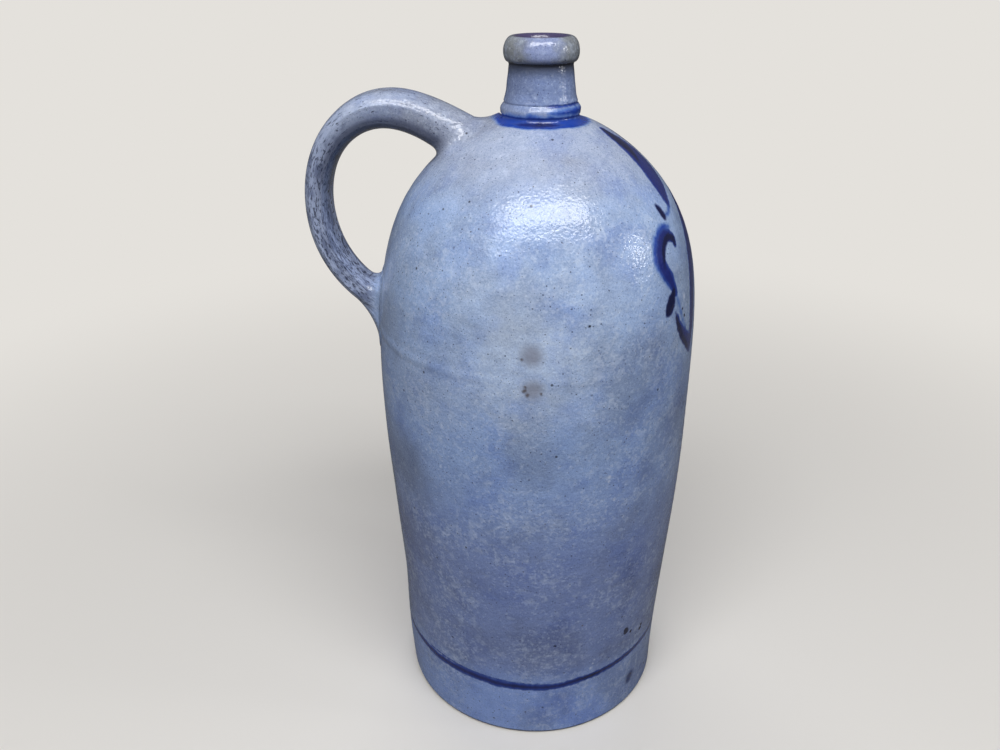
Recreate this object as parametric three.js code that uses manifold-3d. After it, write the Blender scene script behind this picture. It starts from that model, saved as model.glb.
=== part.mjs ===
import * as THREE from "three";
import { mergeVertices } from "three/addons/utils/BufferGeometryUtils.js";
import Module from "manifold-3d";

// Tall stoneware jug with a narrow neck, a rolled lip and one pulled strap handle.
// Millimetres, +Z up, origin at the centre of the flat foot, handle towards -X.

// Heights of the thrown pot, stacked from the foot upwards
const BELLY_RISE = 188; // foot to the widest place
const RING_RISE = 62; // widest place to the raised ring under the shoulder
const SHOULDER_RISE = 109; // raised ring to the foot of the neck
const NECK_RISE = 28; // foot of the neck to the underside of the lip
const LIP_RISE = 13; // underside of the lip to its crest

const BELLY_Z = BELLY_RISE;
const RING_Z = BELLY_Z + RING_RISE;
const NECK_Z = RING_Z + SHOULDER_RISE;
const LIP_Z = NECK_Z + NECK_RISE;
const TOP_Z = LIP_Z + LIP_RISE;

// Body
const FOOT_R = 82;
const BELLY_R = 89.6;
const NECK_FOOT_R = 26; // where the dome of the shoulder runs into the neck
const SHOULDER_POWER = 4.6; // how long the dome stays upright before it closes
const SHOULDER_FULLNESS = 0.88; // below 1 makes the closing part rounder
const WALL = 8;
const FLOOR = 10;
const FOOT_EDGE = 2.5; // rounding of the foot's outer edge
const FLOOR_CORNER = 16; // rounding inside, between floor and wall
const BORE_R = 11.5; // clear way through neck and lip
const RING_HEIGHT = 0.7; // how far the ring at the joint stands out
const RING_REACH = 4; // how far it spreads up and down

// Neck
const NECK_R = 16.5; // slimmest place, just under the lip
const NECK_SPREAD = 2.2; // how much wider the straight neck gets towards its foot
const COLLAR_R = 19.6; // ground of the collar round the neck's foot
const COLLAR_BULGE = 1.4; // how far its soft roll stands out
const COVE_RISE = 3.4; // hollow moulding from the shoulder up to the collar
const COLLAR_RISE = 6; // height of the collar, between its two grooves
const COLLAR_FADE = 6; // hollow run from the collar into the straight neck
const GROOVE_DEPTH = 0.5; // the line cut round the pot above and below the collar
const GROOVE_REACH = 0.9; // half the width of that line

// Lip
const LIP_R = 19.4; // widest place of the rolled lip
const LIP_CREST_R = 14.8; // radius of its highest line
const LIP_SEAT_R = 17.2; // underside, a little wider than the neck it sits on
const LIP_WIDEST_RISE = 5.6; // underside to the widest place
const LIP_MOUTH_RISE = 7; // underside to where the rounding into the bore begins

// Handle: one cubic curve through [distance out from the axis, height], tied to neck, belly and ring
const ROOT_OUT = 22.2; // its start on the shoulder, out from the neck's foot
const ROOT_DROP = 6.1; // and below it
const CREST_OUT = 30.6; // pull on the upper half, out from the belly
const CREST_RISE = 46.9; // and above the neck's foot
const LOOP_OUT = 72.2; // pull on the lower half, out from the belly
const LOOP_RISE = 16.9; // and above the ring
const TAIL_IN = 30.9; // its end inside the wall, in from the belly
const TAIL_DROP = 2.1; // and below the ring
const HANDLE_ROOT = [NECK_FOOT_R + ROOT_OUT, NECK_Z - ROOT_DROP];
const HANDLE_ROOT_PULL = [BELLY_R + CREST_OUT, NECK_Z + CREST_RISE];
const HANDLE_TAIL_PULL = [BELLY_R + LOOP_OUT, RING_Z + LOOP_RISE];
const HANDLE_TAIL = [BELLY_R - TAIL_IN, RING_Z - TAIL_DROP];
const ROOT_DEPTH = 16; // how far the upper end runs on, into the shoulder, before it is cut
const HANDLE_THICK_TOP = 21; // across the strap in the plane of the loop
const HANDLE_THICK_LOW = 13.6;
const HANDLE_WIDE_TOP = 30; // across the strap, the way the fingers lie
const HANDLE_WIDE_LOW = 26;
const THIN_BY = 0.6; // share of the curve over which the strap thins out
const ROOT_FILLET = 5; // clay smoothed round the sides and inside of both roots
const CROWN_SMEAR = 13; // clay smoothed from the top of the upper root towards the neck
const TAIL_SMEAR = 24; // clay dragged down the wall below the lower root
const SMEAR_EDGE = 0.9; // thickness at which the smeared clay ends
const SEAT_GAP = 0.3; // clearance between the handle's roots and the pot

// Facets
const TURNS = 60; // facets round the body
const NECK_TURNS = 44; // facets round neck and lip
const STRAP_SIDES = 18; // facets round the strap
const WALL_STEP = 27; // height of one step up the plain wall outside
const INNER_STEP = 36; // and inside
const RING_STEP = 1.4; // across the raised ring
const TUBE_STEP = 7; // up the straight neck
const DOME_TURN = 7; // degrees of one step over the dome outside
const INNER_TURN = 9; // and inside
const STRAP_STEP = 5; // length of one step along the strap
const ROOT_STEP = 1.8; // the same where the roots flare

const GLAZE = 0x8d94ad;
const GLAZE_PALE = 0x9a9eae;
const GLAZE_OLIVE = 0x86867e;

const COLLAR_Z = NECK_Z + COVE_RISE;
const TUBE_Z = COLLAR_Z + COLLAR_RISE;

const wasm = await Module();
wasm.setup();

const mix = THREE.MathUtils.lerp;

// A raised ring on a profile: a smooth hump of one height that fades out over its reach
function hump(z, at, reach, height) {
  const u = Math.abs(z - at) / reach;
  return u < 1 ? height * Math.cos((u * Math.PI) / 2) ** 2 : 0;
}

// Plain radius of the thrown wall: foot to belly by a cosine, belly to neck by a dome
function thrownRadius(z) {
  if (z <= BELLY_Z) {
    const rise = (1 - Math.cos((Math.PI * z) / BELLY_Z)) / 2;
    return mix(FOOT_R, BELLY_R, rise);
  }
  const t = (z - BELLY_Z) / (NECK_Z - BELLY_Z);
  const open = Math.max(0, 1 - t ** SHOULDER_POWER) ** SHOULDER_FULLNESS;
  return mix(NECK_FOOT_R, BELLY_R, open);
}

function bodyRadius(z) {
  return thrownRadius(z) + hump(z, RING_Z, RING_REACH, RING_HEIGHT);
}

function bodySlope(z) {
  const h = 0.01;
  return (thrownRadius(z) - thrownRadius(z - h)) / h;
}

// Inside of the wall, set back so that the wall keeps its thickness square to the surface
function innerRadius(z) {
  return Math.max(BORE_R, thrownRadius(z) - WALL * Math.hypot(1, bodySlope(z)));
}

// Neck above its hollow moulding: a soft collar between two grooves, then a waisted tube
function neckRadius(z) {
  const tube = mix(NECK_R + NECK_SPREAD, NECK_R, (z - TUBE_Z) / (LIP_Z - TUBE_Z));
  const fade = Math.max(0, 1 - (z - TUBE_Z) / COLLAR_FADE) ** 2;
  const ground = z < TUBE_Z ? COLLAR_R : tube + (COLLAR_R - NECK_R - NECK_SPREAD) * fade;
  const roll = hump(z, (COLLAR_Z + TUBE_Z) / 2, COLLAR_RISE / 2, COLLAR_BULGE);
  const grooves = [COLLAR_Z, TUBE_Z].map((at) => hump(z, at, GROOVE_REACH, GROOVE_DEPTH));
  return ground + roll - grooves[0] - grooves[1];
}

// Heights from low to high in even steps of about one size
function steps(low, high, size) {
  const n = Math.max(1, Math.round((high - low) / size));
  return Array.from({ length: n + 1 }, (_, i) => mix(low, high, i / n));
}

// Quarter of an ellipse from one angle to another, in degrees, as profile points
function arc(r, z, halfWide, halfHigh, from, to, count = 6) {
  return Array.from({ length: count + 1 }, (_, i) => {
    const a = THREE.MathUtils.degToRad(mix(from, to, i / count));
    return [r + halfWide * Math.cos(a), z + halfHigh * Math.sin(a)];
  });
}

// Outside of the thrown wall up to the ring, from the foot's rounded edge
function lowerSkin() {
  const wall = steps(FOOT_EDGE, RING_Z - RING_REACH, WALL_STEP);
  const ring = steps(RING_Z - RING_REACH, RING_Z, RING_STEP);
  return [...wall, ...ring.slice(1)].map((z) => [bodyRadius(z), z]);
}

// Outside of the dome, in steps that shorten as it closes
function upperSkin() {
  const span = SHOULDER_RISE - RING_REACH;
  const ring = steps(RING_Z, RING_Z + RING_REACH, RING_STEP);
  const dome = steps(0, 90, DOME_TURN).map((a) => {
    return RING_Z + RING_REACH + span * Math.sin(THREE.MathUtils.degToRad(a));
  });
  return [...ring, ...dome.slice(1)].map((z) => [bodyRadius(z), z]);
}

// Outside of the neck: hollow moulding, collar, fade into the tube, tube
function neckSkin() {
  const coveWide = NECK_FOOT_R - neckRadius(COLLAR_Z);
  const cove = arc(NECK_FOOT_R, COLLAR_Z, coveWide, COVE_RISE, -90, -180, 4);
  const collar = steps(COLLAR_Z, TUBE_Z + GROOVE_REACH, GROOVE_REACH / 2);
  const fade = steps(TUBE_Z + GROOVE_REACH, TUBE_Z + COLLAR_FADE, COLLAR_FADE / 4);
  const tube = steps(TUBE_Z + COLLAR_FADE, LIP_Z, TUBE_STEP);
  const upright = [...collar, ...fade.slice(1), ...tube.slice(1)].map((z) => [neckRadius(z), z]);
  return [...cove, ...upright.slice(1)];
}

// Solid of revolution about Z from [radius, height] points, anticlockwise round the clay
function turned(profile, turns) {
  const points = profile.map(([r, z]) => new THREE.Vector2(r, z));
  return new THREE.LatheGeometry(points, turns).rotateX(Math.PI / 2);
}

function closed(profile) {
  return [...profile, profile[0]];
}

function lowerBody() {
  const cornerZ = FLOOR + FLOOR_CORNER;
  const footR = bodyRadius(FOOT_EDGE) - FOOT_EDGE;
  const cornerR = innerRadius(cornerZ) - FLOOR_CORNER;
  const footEdge = arc(footR, FOOT_EDGE, FOOT_EDGE, FOOT_EDGE, -90, 0, 3);
  const inside = steps(cornerZ, RING_Z, INNER_STEP).map((z) => [innerRadius(z), z]);
  const corner = arc(cornerR, cornerZ, FLOOR_CORNER, FLOOR_CORNER, 0, -90, 4);
  const outline = [...footEdge, ...lowerSkin().slice(1), ...inside.reverse(), ...corner.slice(1)];
  return turned([[0, 0], ...outline, [0, FLOOR]], TURNS);
}

function shoulder() {
  const inside = steps(0, 90, INNER_TURN).map((a) => {
    const z = RING_Z + SHOULDER_RISE * Math.sin(THREE.MathUtils.degToRad(a));
    return [innerRadius(z), z];
  });
  return turned(closed([...upperSkin(), ...inside.reverse()]), TURNS);
}

function neck() {
  return turned(closed([...neckSkin(), [BORE_R, LIP_Z], [BORE_R, NECK_Z]]), NECK_TURNS);
}

function lipRing() {
  const widestZ = LIP_Z + LIP_WIDEST_RISE;
  const mouthZ = LIP_Z + LIP_MOUTH_RISE;
  const under = arc(LIP_SEAT_R, widestZ, LIP_R - LIP_SEAT_R, LIP_WIDEST_RISE, -90, 0);
  const over = arc(LIP_CREST_R, widestZ, LIP_R - LIP_CREST_R, TOP_Z - widestZ, 0, 90, 8);
  const mouth = arc(LIP_CREST_R, mouthZ, LIP_CREST_R - BORE_R, TOP_Z - mouthZ, 90, 180);
  const outline = [...under, ...over.slice(1), ...mouth.slice(1), [BORE_R, LIP_Z]];
  return turned(closed(outline), NECK_TURNS);
}

// A turned solid or a loft as a body that can be joined and cut
function asSolid(geometry) {
  geometry.deleteAttribute("normal");
  geometry.deleteAttribute("uv");
  const merged = mergeVertices(geometry);
  return new wasm.Manifold(new wasm.Mesh({
    numProp: 3,
    vertProperties: new Float32Array(merged.getAttribute("position").array),
    triVerts: new Uint32Array(merged.getIndex().array),
  }));
}

function asGeometry(solid) {
  const { vertProperties, triVerts } = solid.getMesh();
  const geometry = new THREE.BufferGeometry();
  geometry.setAttribute("position", new THREE.BufferAttribute(vertProperties, 3));
  geometry.setIndex(new THREE.BufferAttribute(triVerts, 1));
  geometry.computeVertexNormals();
  return geometry;
}

// Outside of the whole pot, grown by the seat's clearance, to cut the handle's roots
function potCutter() {
  const skin = [...lowerSkin(), ...upperSkin().slice(1), ...neckSkin().slice(1)];
  const grown = skin.map(([r, z], i) => {
    const [r0, z0] = skin[Math.max(0, i - 1)];
    const [r1, z1] = skin[Math.min(skin.length - 1, i + 1)];
    const along = Math.hypot(r1 - r0, z1 - z0);
    return [r + (SEAT_GAP * (z1 - z0)) / along, z + (SEAT_GAP * (r0 - r1)) / along];
  });
  const core = BORE_R / 2;
  const outline = [[core, grown[0][1]], ...grown, [core, grown.at(-1)[1]]];
  return asSolid(turned(closed(outline), TURNS));
}

// Direction square to the thrown wall beside a point
function wallNormal(point) {
  const height = Math.min(point.z, NECK_Z - 0.1);
  const r = Math.hypot(point.x, point.y);
  return new THREE.Vector3(point.x / r, point.y / r, -bodySlope(height)).normalize();
}

// How far a point lies outside the thrown wall, square to the surface
function clearOfWall(point) {
  const height = Math.min(point.z, NECK_Z - 0.1);
  const beyond = Math.hypot(point.x, point.y) - thrownRadius(height);
  return beyond / Math.hypot(1, bodySlope(height));
}

// How far a fillet reaches along the wall at a distance from it
function filletAt(distance, radius) {
  const d = THREE.MathUtils.clamp(distance, SMEAR_EDGE, radius);
  return radius - Math.sqrt(radius ** 2 - (radius - d) ** 2);
}

// One ring of the strap: an oval square to the curve, flared by a fillet where it nears the wall
function strapRing(centre, along, t) {
  const outward = new THREE.Vector3(along.z, 0, -along.x);
  const thin = THREE.MathUtils.smoothstep(t, 0, THIN_BY);
  const halfThick = mix(HANDLE_THICK_TOP, HANDLE_THICK_LOW, thin) / 2;
  const halfWide = mix(HANDLE_WIDE_TOP, HANDLE_WIDE_LOW, thin) / 2;
  const smear = t < 0.5 ? CROWN_SMEAR : TAIL_SMEAR;
  return Array.from({ length: STRAP_SIDES }, (_, i) => {
    const a = (2 * Math.PI * i) / STRAP_SIDES;
    const reach = outward.clone().multiplyScalar(halfThick * Math.cos(a));
    reach.y = halfWide * Math.sin(a);
    const point = centre.clone().add(reach);
    const outer = Math.max(0, Math.cos(a)) ** 2;
    const flare = filletAt(clearOfWall(point), mix(ROOT_FILLET, smear, outer));
    const alongWall = reach.projectOnPlane(wallNormal(point)).normalize();
    return point.addScaledVector(alongWall, flare);
  });
}

// Pulled handle: an oval strap along the loop, its roots smoothed on and cut to the pot
function handle() {
  const at = ([out, up]) => new THREE.Vector3(-out, 0, up);
  const ends = [HANDLE_ROOT, HANDLE_ROOT_PULL, HANDLE_TAIL_PULL, HANDLE_TAIL];
  const loop = new THREE.CubicBezierCurve3(...ends.map(at));
  const length = loop.getLength();
  const rings = [];
  let run = -ROOT_DEPTH;
  while (run < length) {
    const t = loop.getUtoTmapping(Math.max(0, run) / length);
    const along = loop.getTangent(t);
    const centre = loop.getPoint(t).addScaledVector(along, Math.min(0, run));
    rings.push(strapRing(centre, along, t));
    const fromWall = clearOfWall(centre);
    run += Math.abs(fromWall) < HANDLE_THICK_TOP ? ROOT_STEP : STRAP_STEP;
  }
  return asSolid(loft(rings)).subtract(potCutter());
}

// Closed skin through rings of points, with a flat fan over each end
function loft(rings) {
  const count = rings[0].length;
  const points = rings.flat();
  const faces = [];
  for (let k = 0; k + 1 < rings.length; k++) {
    for (let i = 0; i < count; i++) {
      const a = k * count + i;
      const b = k * count + ((i + 1) % count);
      faces.push(a, b, a + count, b, b + count, a + count);
    }
  }
  const last = (rings.length - 1) * count;
  for (let i = 1; i + 1 < count; i++) {
    faces.push(0, i + 1, i, last, last + i, last + i + 1);
  }
  const geometry = new THREE.BufferGeometry().setFromPoints(points);
  return geometry.setIndex(faces);
}

function piece(name, geometry, color, roughness) {
  const material = new THREE.MeshStandardMaterial({ color, roughness, metalness: 0 });
  const mesh = new THREE.Mesh(geometry, material);
  mesh.name = name;
  return mesh;
}

const jug = new THREE.Group();
jug.add(piece("lower_body", lowerBody(), GLAZE, 0.35));
jug.add(piece("shoulder", shoulder(), GLAZE_PALE, 0.32));
jug.add(piece("neck", neck(), GLAZE, 0.32));
jug.add(piece("lip_ring", lipRing(), GLAZE_OLIVE, 0.3));
jug.add(piece("handle", asGeometry(handle()), GLAZE_PALE, 0.35));

export default jug;
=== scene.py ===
import math

import bmesh
import bpy
import numpy as np
from mathutils import Euler, Matrix, Vector, noise


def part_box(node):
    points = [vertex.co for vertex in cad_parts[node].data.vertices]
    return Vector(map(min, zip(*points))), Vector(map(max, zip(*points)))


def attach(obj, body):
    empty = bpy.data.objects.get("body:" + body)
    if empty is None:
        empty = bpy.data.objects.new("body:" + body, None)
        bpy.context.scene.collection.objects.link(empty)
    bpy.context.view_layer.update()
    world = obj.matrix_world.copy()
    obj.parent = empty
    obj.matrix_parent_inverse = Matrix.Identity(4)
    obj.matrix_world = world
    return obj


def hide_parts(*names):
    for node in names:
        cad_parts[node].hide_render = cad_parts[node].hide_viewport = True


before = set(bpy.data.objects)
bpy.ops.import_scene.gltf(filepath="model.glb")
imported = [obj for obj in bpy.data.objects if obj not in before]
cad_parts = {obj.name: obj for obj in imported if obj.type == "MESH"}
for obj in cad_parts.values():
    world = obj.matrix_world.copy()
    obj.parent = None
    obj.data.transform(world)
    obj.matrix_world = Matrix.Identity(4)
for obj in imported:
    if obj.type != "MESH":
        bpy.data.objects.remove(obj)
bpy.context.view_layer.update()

# Salt-glazed stoneware jug with cobalt painting: thrown body, shoulder, neck and rolled lip,
# and one pulled strap handle. Sizes are in millimetres and become metres in the meshes.
# Angles round the pot are in degrees, from the side that faces the camera (-Y) towards +X.

MM = 0.001

# Heights of the thrown pot, read from the frame
RING_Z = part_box("lower_body")[1].z / MM
NECK_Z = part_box("shoulder")[1].z / MM
LIP_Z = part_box("neck")[1].z / MM
TOP_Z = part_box("lip_ring")[1].z / MM

# Body
BELLY_Z = 188
FOOT_R = 82
BELLY_R = 89.6
NECK_FOOT_R = 26
SHOULDER_POWER = 4.6
SHOULDER_FULLNESS = 0.88
SLOPE_END = NECK_Z - 0.1  # the dome lies flat at the neck, so its slope is read up to here only
WALL = 8
FLOOR = 10
FOOT_EDGE = 2.5
UNDER_FOOT = 0.15  # faces below this height are the underside of the foot
FLOOR_CORNER = 16
BORE_R = 11.5
THROAT_R = 14  # nothing is painted inside this radius, above the foot of the neck
RING_HEIGHT = 0.7
RING_REACH = 4

# Neck
NECK_R = 16.5
NECK_SPREAD = 2.2
COLLAR_R = 19.6
COLLAR_BULGE = 1.4
COVE_RISE = 3.4
COLLAR_RISE = 6
COLLAR_FADE = 6
GROOVE_DEPTH = 0.5
GROOVE_REACH = 0.9
COLLAR_Z = NECK_Z + COVE_RISE
TUBE_Z = COLLAR_Z + COLLAR_RISE

# Lip
LIP_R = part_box("lip_ring")[1].x / MM
LIP_CREST_R = 14.8
LIP_SEAT_R = 17.2
LIP_WIDEST_RISE = 5.6
LIP_MOUTH_RISE = 7

# Handle: one cubic curve through (distance out from the axis, height)
HANDLE_ROOT = (NECK_FOOT_R + 22.2, NECK_Z - 6.1)
HANDLE_ROOT_PULL = (BELLY_R + 30.6, NECK_Z + 46.9)
HANDLE_TAIL_PULL = (BELLY_R + 72.2, RING_Z + 16.9)
HANDLE_TAIL = (BELLY_R - 30.9, RING_Z - 2.1)
ROOT_DEPTH = 16
HANDLE_THICK_TOP = 21
HANDLE_THICK_LOW = 13.6
HANDLE_WIDE_TOP = 30
HANDLE_WIDE_LOW = 26
STRAP_SLIMMER = 0.2  # taken off all round, so that the ridges stay within the strap's plain size
THIN_BY = 0.6  # share of the loop after which the strap is as thin as it gets
STRAP_BOX = 2.8  # 2 is an oval section, more is boxier
ROOT_FILLET = 6
CROWN_SMEAR = 14
TAIL_SMEAR = 20
TAIL_WEB = 13  # clay smoothed into the corner above the lower root
ROOT_BLEND = 9  # height above the wall at which the strap's own colour is all there
ROOT_CUT = 2  # how deep in the wall the strap's buried ends are cut off

# Fineness of the meshes
POT_SIDES = 440
NECK_SIDES = 240
CORE_SIDES = 180
DOUBLINGS = 3
WALL_ROW = 1.9
SHOULDER_ROW = 1.15
BAND_ROW = 0.6
BAND_ZONE = (34, 54)  # the heights between which the base band needs fine rows
NECK_ROW = 0.4
INNER_ROW = 8
CORE_ROW = 2
STRAP_SIDES = 128
STRAP_ROW = 1.4
ROOT_ROW = 0.3
CURVE_STEPS = 400
SHARP = math.radians(35)

# Traces of the potter's hand on the pot
OUT_OF_ROUND = 0.3
OVAL_TURN = 0.6  # radians from +X to where the pot is widest
TRUE_BELOW_NECK = 30  # the pot runs true at the neck and is uneven from this far below it
THROWING_PITCH = 7.5
THROWING_DEPTH = 0.12
THROWING_PATCH = (60, 45)  # width and height of the places where the wheel lines show
LUMP_SIZE = 38
LUMP_DEPTH = 0.3
LUMPS_AT_NECK = 0.4  # share of the lumps that is left there
LOW_SWELL = (33, 55, 2)  # the handle's side stands out above the foot: height, reach, how far
HIGH_SWELL = (215, 90, 2)  # and below the shoulder
RING_WORN = 0.93  # share of the raised ring that is smoothed away
RING_WORN_BY_HANDLE = 0.3  # and on the handle's side
COLLAR_SAG = 1.2  # how far the wet collar sank out over the hollow below it
LIP_TUCK = 0.9  # how far the lip's underside is pressed up where it meets the neck

# Traces of the hand along the strap
STRAP_UNEVEN = 0.5
STRAP_LUMP = 45  # length of a lump along the strap
LUMPS_ROUND = 1.5  # how fast the lumps change round its section
LINE_FADE = 30  # length over which a drawn line comes and goes
LINE_START = 1  # height above the wall at which ridges and lumps begin
SMEAR_UNEVEN = 0.12  # share by which the smeared clay of the roots varies
SMEARS_ROUND = 1.7  # how fast it varies round the root
# Ridges and hollows drawn along the strap: (degrees from its outer side, spread, height)
STRAP_LINES = [(10, 16, -0.3), (76, 5, 0.45), (95, 10, -0.7), (118, 4, 0.35)]

# Cobalt strokes on the shoulder: (angle, height, half width), from one end to the other
LEAF = [(76.5, 355.8, 2.4), (75.2, 352.8, 5), (76.6, 348.8, 7.4), (77.2, 343.8, 9.8), (75.6, 338.4, 10),
        (73.2, 333.4, 8.8), (70.9, 329, 6.4), (69.5, 325, 4), (68.8, 321.8, 1.8)]
LEAF_HEART = [(76.6, 355.4, 2), (75.4, 352.4, 4.2), (75.6, 349, 5), (74.6, 345.6, 3.4), (71, 341.6, 1.6)]
CURL = [(69, 324, 2.2), (67.8, 321, 1.9), (64.8, 319.3, 1.5), (61, 318.6, 1.1)]
CURL_DOT = [(57.6, 323.8, 1.6), (58.8, 321.2, 2.4), (59.6, 318.6, 2.2)]
SCROLL = [(60.6, 305.2, 1.8), (60, 308, 2.8), (57.6, 310.6, 3.4), (54.2, 311.2, 3.6), (51.2, 309.4, 3.7),
          (49.6, 306, 3.8), (48.8, 302.4, 3.8), (49, 298.8, 3.9), (50.4, 295, 4.1), (52.2, 291, 3.9),
          (53.7, 286.8, 3.1), (55.1, 282.6, 2)]
SCROLL_HEART = [(60.4, 305.4, 1.5), (60, 308, 2.3), (57.6, 309.8, 2.5), (54.6, 309.4, 2.4),
                (52.4, 307.2, 2.2), (51.2, 304.4, 2.1), (50.4, 301, 1.7), (50.2, 297, 1)]
SCROLL_HALO = [(60, 314, 1.6), (56.5, 314.8, 2.4), (53, 314, 2.8), (49.8, 311.4, 2.9), (47.4, 308, 2.9),
               (46.3, 304, 2.9), (46.4, 299.6, 2.6), (47.8, 295.4, 2), (50, 290.5, 1.6), (52.4, 285.5, 1.2)]
STEM = [(54.8, 284, 1.3), (55.6, 281, 1.3), (57, 275.5, 1.2), (58.4, 270, 1.3), (60, 265, 1.4),
        (62, 260, 1.4)]
SPUR = [(54, 285, 1.5), (53, 282.2, 2.9), (51.8, 279.4, 4), (50.6, 276.6, 3.8), (49.4, 274.4, 2.2)]
# The tail runs broad out to the right limb: cobalt, and partly painted shade of that limb
TAIL_AND_LIMB_SHADE = [(55.4, 270.6, 1.4), (56.6, 266, 2.4), (58.6, 261, 3.2), (61.4, 256.4, 4), (64.8, 252, 4.6),
        (67.8, 247.6, 3.8), (69, 244, 2)]
TAIL_HEART = [(54.4, 272.6, 0.8), (55.2, 268.5, 1.7), (56.6, 264, 2.3), (58.4, 259.4, 2.3),
              (60.6, 255, 2.4), (63.4, 250.8, 2.2), (66, 246.8, 1.6), (67.2, 244, 0.8)]
CRESCENT = [(86.5, 323, 3), (85, 317.5, 6), (82, 311, 7.4), (79.2, 304.5, 7.7), (76.6, 297.5, 7.3),
            (74, 289.5, 6.6), (72.2, 281, 6), (70.8, 271, 5.6), (70, 261, 5), (69.4, 253, 3.4),
            (69, 247, 1.8)]
MOTIF_MIDDLE = 90
BRUSH_STEP = 0.5  # spacing of the points along a stroke
PAINT_REACH = 8  # distance from a stroke beyond which its exact depth doesn't matter
PAINT_BATCH = 4000

# Ground colour from the foot upwards: (height where it begins, height where it is full, tint)
FOOT_TINT = "#5f5b63"
# The body's tints are darker and bluer low down and paler up the shoulder: ground colour, and partly painted
# shade of the light from above
BODY_TINTS_AND_SHADE = [(1, 2.6, "#98b2ec"), (36, 60, "#8799ca"), (120, 215, "#9cb5e2"), (225, 290, "#afc7ee"),
              (320, 348, "#b5c1da")]
NECK_TINTS = [(359, 370, "#8a9cc6")]
# Painted shadow of the lip on the top of the neck: (height where it begins, height where it is full, tint)
UNDER_LIP_SHADOW_TINTS = [(379, 387, "#454c60")]
# Flashes of the fire, and painted sheen: the pale patches at -2 and 20 degrees, facing the front,
# are a painted sheen of the glaze. (angle, height, radius, tint, share)
FLASHES_AND_SHEEN = [(-2, 262, 60, "#cee0fa", 0.8), (-40, 237, 40, "#aebcd4", 0.5), (20, 300, 35, "#b2c8ec", 0.5),
           (42, 258, 28, "#8499c8", 0.6), (56, 208, 32, "#8799c0", 0.7),
           (-52, 178, 32, "#8799bd", 0.6), (13, 30, 14, "#6f8bd2", 0.6)]

# Small marks: (angle, height, radius)
COBALT_DOTS = [(43.3, 66.5, 2.3), (42.9, 68.6, 1.8), (46.8, 63.6, 1.3), (54.2, 58.4, 1.5), (54.6, 61.2, 1.4),
               (9.3, 74.5, 1), (61.2, 268, 1.1), (59.6, 272.5, 1)]
SMUDGES = [(50.6, 21.4, 3.5), (49.8, 18.2, 2.8)]
FAINT_SPOTS = [(-1.4, 264.4, 5.2), (-0.9, 246.5, 4.8)]
IRON_SPOTS = [(-3.4, 248.2, 1), (-3.6, 246, 1.2), (-2.6, 243.8, 1.1), (1.6, 244.6, 0.8), (-4.6, 262.6, 0.8),
              (20.2, 88.2, 0.8)]
CHIPS = [(16.9, 278.1, 0.85), (15.6, 277.9, 0.7), (18.1, 278, 0.65)]
# Pale marks: painted glints of the light, together with scuffs and a small blister
SCUFFS_AND_GLINTS = [(26.1, 191.4, 1), (26, 188.6, 0.8), (28.8, 176, 0.9), (25.8, 49.4, 0.9), (26.6, 53, 0.7),
          (27, 56, 0.7), (61.4, 278.2, 1.3)]
MARK_RAGGED = 1.6  # how far the edge of a mark wanders

# Clouds in the glaze: (size, noise value where one begins, where it is full, share, tint)
CLOUDS = [(48, 0.42, 0.64, 0.8, "#e4dfda"), (28, 0.46, 0.68, 0.8, "#dde4f7"),
          (9, 0.42, 0.68, 0.4, "#cfd6e4"), (0.7, 0.4, 0.66, 0.6, "#c6ccdc")]
# Pale dabs of thick salt: (size, noise value where one begins, where it is full, share)
DABS = [(1.7, 0.78, 1, 0.8), (4.5, 0.78, 0.98, 0.7)]
# Pinholes and iron specks: (spacing, radius, tint, share of the places without one)
SPECKS = [(2, 0.26, "#4a5270", 0.3), (4.4, 0.4, "#343a55", 0.35), (11, 0.7, "#25283a", 0.5)]
# Orange peel: soft lumps and two sizes of pits, (size, depth). Real pits are finer, and these are
# as coarse as they need to be to show.
PEEL_LUMPS = (7, 0.3)
PEEL_PITS = [(1.5, 0.15), (0.8, 0.07)]
# Layers of cobalt: (attribute, how ragged, depth where it begins, where it covers, tint where it
# is thin, tint where it is thick, depth where it is thin, where it is thick)
COBALT_LAYERS = [("wash", 2.8, -1, 1.2, "#6284c6", "#2245a6", 0.3, 2.4),
                 ("cobalt", 2.2, -0.5, 0.7, "#304c9e", "#1e2b78", 0.2, 2.4),
                 ("heart", 1.8, -0.7, 0.9, "#1b2868", "#0f1542", 0.2, 1.8)]

# Olive grey on both sides of the lip: distance from the middle where it begins and where it is full,
# and how far its edge wanders
LIP_SIDE_OLIVE = (16, 25)
LIP_SIDE_OLIVE_RAGGED = 22
LIP_UNDERCUT_SHADE = (4, 0.8)  # height above the lip's seat where the painted shade begins and where it is full
LIP_THROAT = (0.4, -0.8)  # where the dark of the mouth begins and where it is full, out from the crest of the lip

# Strap: length from its upper root between which the wear of the hand begins and is full
STRAP_WORN = (36, 84)
STRAP_UPPER_SHADE = (120, 70)  # the same for the painted shade under the upper part of the loop
STRAP_UNDER_SHADE = (2, -4)  # distance out from the middle of its section, from unshaded to full painted shade
STREAK = (12, 2.6, 2.6)  # size of a streak along, through and across the strap
FLECK = (2.6, 1.1, 1.1)
STREAK_DEPTH = 0.2
WALL_BLEND = 0.06  # how free the strap is where it no longer takes the wall's normal
WALL_LEAST = 0.3  # share of its own normal that it has even on the wall

# Camera where the jug is seen from, in metres and degrees
CAMERA_AT = (0, -0.450478, 0.438122)
CAMERA_YAW = -2.757
CAMERA_PITCH = 26.859
CAMERA_ROLL = -0.306
CAMERA_LENS = 30.24

BACKDROP = "#e4e1dc"
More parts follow.
